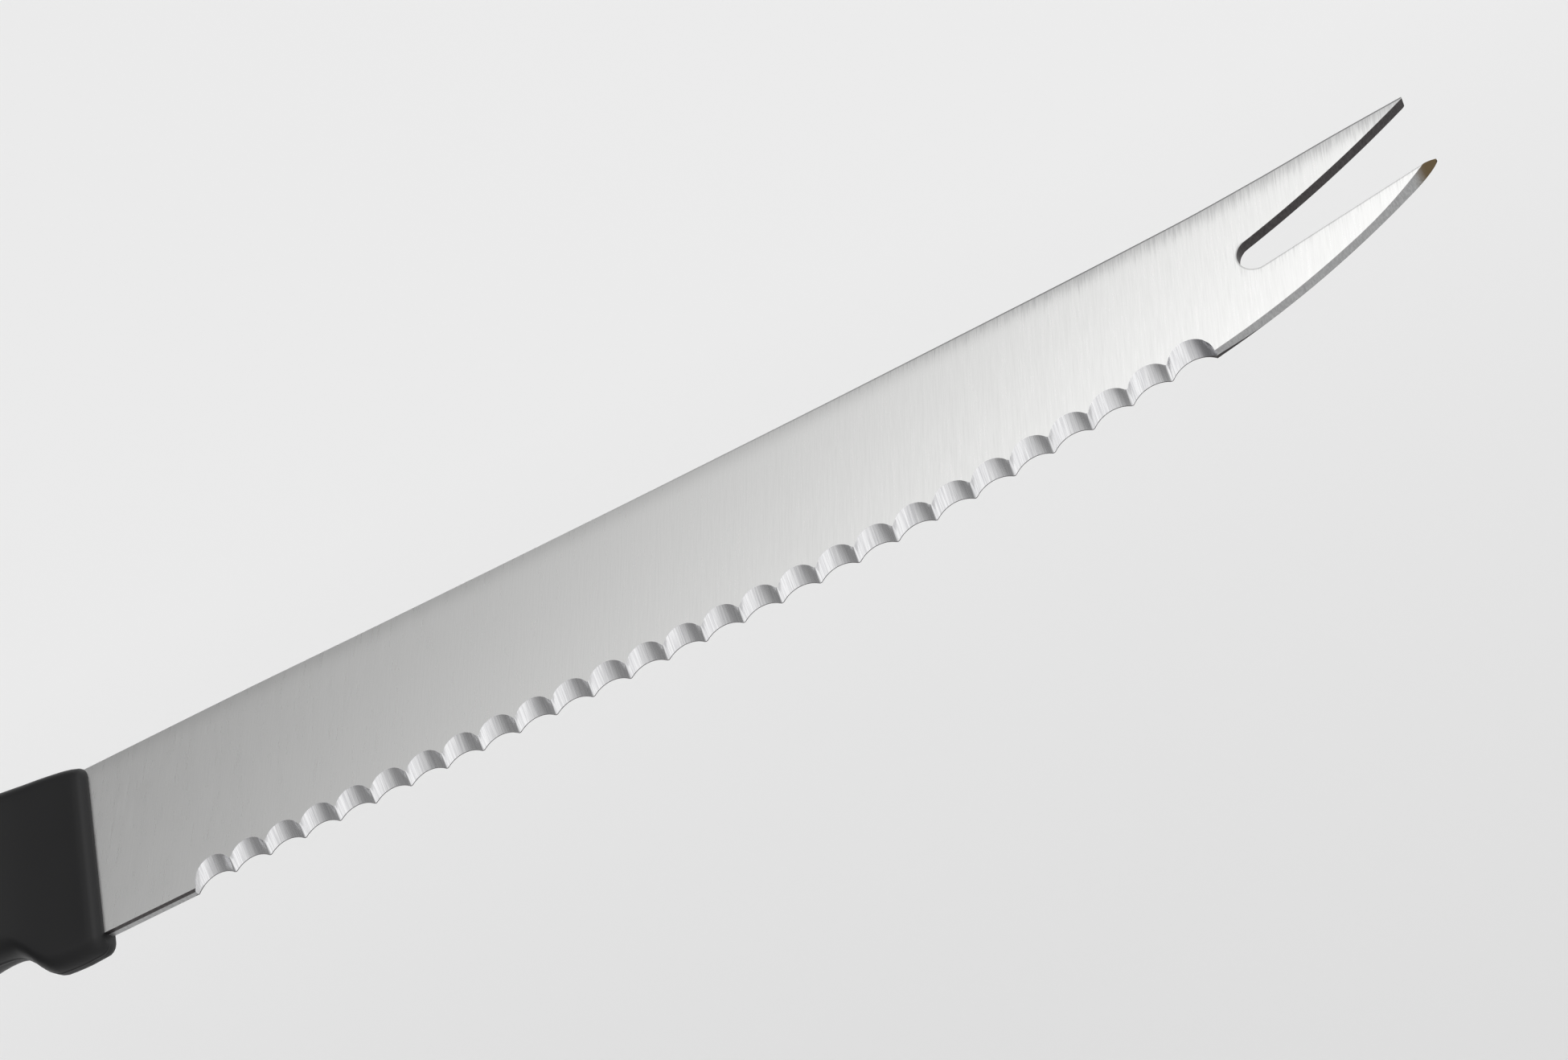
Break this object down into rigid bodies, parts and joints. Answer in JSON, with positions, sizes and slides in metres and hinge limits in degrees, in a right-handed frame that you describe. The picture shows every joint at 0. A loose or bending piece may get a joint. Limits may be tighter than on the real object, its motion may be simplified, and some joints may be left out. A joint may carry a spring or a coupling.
{
  "type": "tomato knife",
  "caption": "Small kitchen knife with a thin scalloped blade ground from one face, an upswept forked tip and a slim black moulded handle.",
  "frame": {"origin": "middle of the knife's box, at the height of the flat handle cheek that it lies on", "axes": "+X along the knife from the handle to the forked tip, +Y across the blade from the edge to the spine, +Z out of the blade face that carries the ground scallops"},
  "size_m": [0.2504, 0.0242, 0.012],
  "materials": {
    "blade_steel": "satin",
    "handle_plastic": "matte"
  },
  "bodies": {
    "root": {"blade": "blade_steel", "handle": "handle_plastic"}
  },
  "joints": []
}
